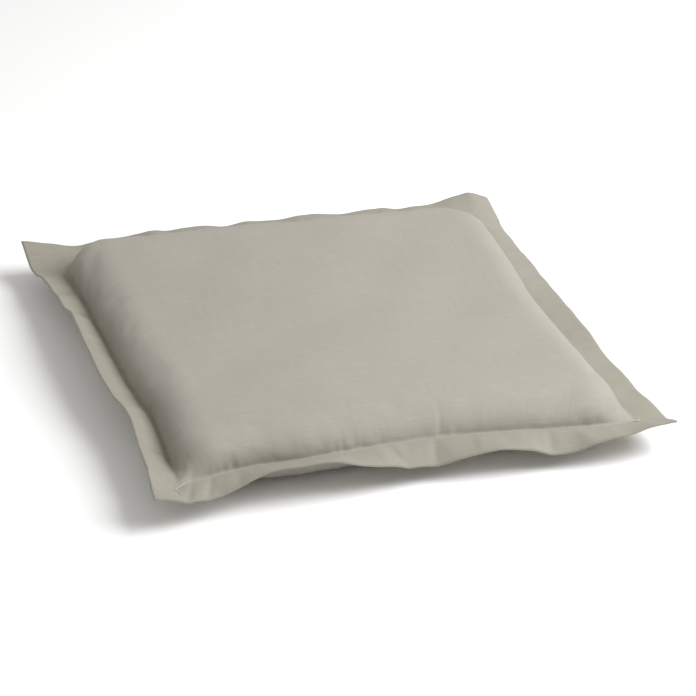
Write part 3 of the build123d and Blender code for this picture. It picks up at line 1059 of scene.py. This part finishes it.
def insert_case(name, node, up):
    """Half of the insert's thin case, which takes the cover's shape from inside."""
    points = inner_layer(up, CASE_DEPTH)
    numbers = np.arange(points.shape[0] * points.shape[1]).reshape(points.shape[:2])
    piece = new_object(name, points.reshape(-1, 3), quads(numbers, turned=not up))
    thick = piece.modifiers.new("cloth", "SOLIDIFY")
    thick.thickness = CASE_CLOTH
    thick.offset = -1
    finish(piece, "cushion", CASE_SHEET, node)


def wadding(name, node, up):
    """Half of the wadding: its outside takes the case's shape, and its inside the foam's."""
    outer = inner_layer(up, WADDING_DEPTH)
    low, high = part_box("foam_core")
    inner = outer.copy()
    inner[..., 0] = np.clip(outer[..., 0], low.x, high.x)
    inner[..., 1] = np.clip(outer[..., 1], low.y, high.y)
    if up:
        inner[..., 2] = np.minimum(outer[..., 2], high.z)
    else:
        inner[..., 2] = np.maximum(outer[..., 2], low.z)
    count = outer.shape[0] * outer.shape[1]
    numbers = np.arange(count).reshape(outer.shape[:2])
    faces = quads(numbers, turned=not up) + quads(numbers + count, turned=up)
    rim = np.concatenate([numbers[:-1, 0], numbers[-1, :-1], numbers[:0:-1, -1], numbers[0, :0:-1]])
    for a, b in zip(rim, np.roll(rim, -1)):
        faces.append((a, b, b + count, a + count) if up else (b, a, a + count, b + count))
    points = np.concatenate([outer.reshape(-1, 3), inner.reshape(-1, 3)])
    piece = new_object(name, points, faces)
    finish(piece, "cushion", WADDING, node)


def foam_slab():
    """The foam, with its cut edges pressed round by the cover."""
    low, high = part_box("foam_core")
    bpy.ops.object.select_all(action="DESELECT")
    bpy.ops.mesh.primitive_cube_add(size=1, location=(low + high) / 2)
    slab = bpy.context.object
    slab.name = slab.data.name = "foam_slab"
    slab.scale = (high - low) * 0.998
    bpy.ops.object.transform_apply(location=True, rotation=False, scale=True)
    bpy.ops.object.mode_set(mode="EDIT")
    bpy.ops.mesh.select_all(action="SELECT")
    bpy.ops.mesh.bevel(offset=6 * MM, segments=5, affect="EDGES")
    bpy.ops.object.mode_set(mode="OBJECT")
    bpy.ops.object.shade_smooth()
    finish(slab, "cushion", FOAM, "foam_core")


insert_case("case_top", "insert_case_top", up=True)
insert_case("case_base", "insert_case_base", up=False)
wadding("top_wadding", "wadding_top", up=True)
wadding("base_wadding", "wadding_base", up=False)
foam_slab()


# ---------------------------------------------------------------- floor, light and camera


def make_stage():
    """A white floor, a large soft light from above the right, and even light from all round."""
    bpy.ops.mesh.primitive_plane_add(size=14, location=(0, 0, -0.2 * MM))
    floor = bpy.context.object
    floor.name = "floor"
    material, _, _ = new_material("white_paper_floor", Roughness=0.9, Specular_IOR_Level=0.1)
    material.node_tree.nodes["Principled BSDF"].inputs["Base Color"].default_value = colour("#FAFAFA")
    floor.data.materials.append(material)

    world = bpy.data.worlds.new("studio")
    bpy.context.scene.world = world
    world.use_nodes = True
    world.node_tree.nodes["Background"].inputs[0].default_value = (1.0, 0.985, 0.955, 1)
    world.node_tree.nodes["Background"].inputs[1].default_value = 0.54

    lamp = bpy.data.lights.new("softbox", "AREA")
    lamp.energy = 51
    lamp.size = 1.4
    lamp.color = (0.99, 1.0, 1.02)
    softbox = bpy.data.objects.new("softbox", lamp)
    softbox.location = (1.25, -0.55, 1.6)
    aim = Vector((0, 0, 0)) - Vector(softbox.location)
    softbox.rotation_euler = aim.to_track_quat("-Z", "Y").to_euler()
    bpy.context.collection.objects.link(softbox)


def make_camera():
    """A long lens from the near left, about 29 degrees above the floor."""
    azimuth, elevation, roll = (math.radians(a) for a in (-18.55, 29.26, 1.65))
    distance, lens, aim_height = 3.233, 174.4, 30 * MM
    shift_right, shift_up = 11 * MM, -12 * MM
    back = Vector(
        (
            math.sin(azimuth) * math.cos(elevation),
            -math.cos(azimuth) * math.cos(elevation),
            math.sin(elevation),
        )
    )
    level = Vector((math.cos(azimuth), math.sin(azimuth), 0))
    upright = back.cross(level)
    right = math.cos(roll) * level + math.sin(roll) * upright
    up = math.cos(roll) * upright - math.sin(roll) * level
    data = bpy.data.cameras.new("camera")
    data.lens = lens
    data.sensor_width = 36
    camera = bpy.data.objects.new("camera", data)
    place = Vector((0, 0, aim_height)) + back * distance + right * shift_right + up * shift_up
    camera.matrix_world = Matrix.Translation(place) @ Matrix((right, up, back)).transposed().to_4x4()
    bpy.context.collection.objects.link(camera)
    bpy.context.scene.camera = camera


make_stage()
make_camera()
bpy.context.scene.view_settings.view_transform = "Standard"
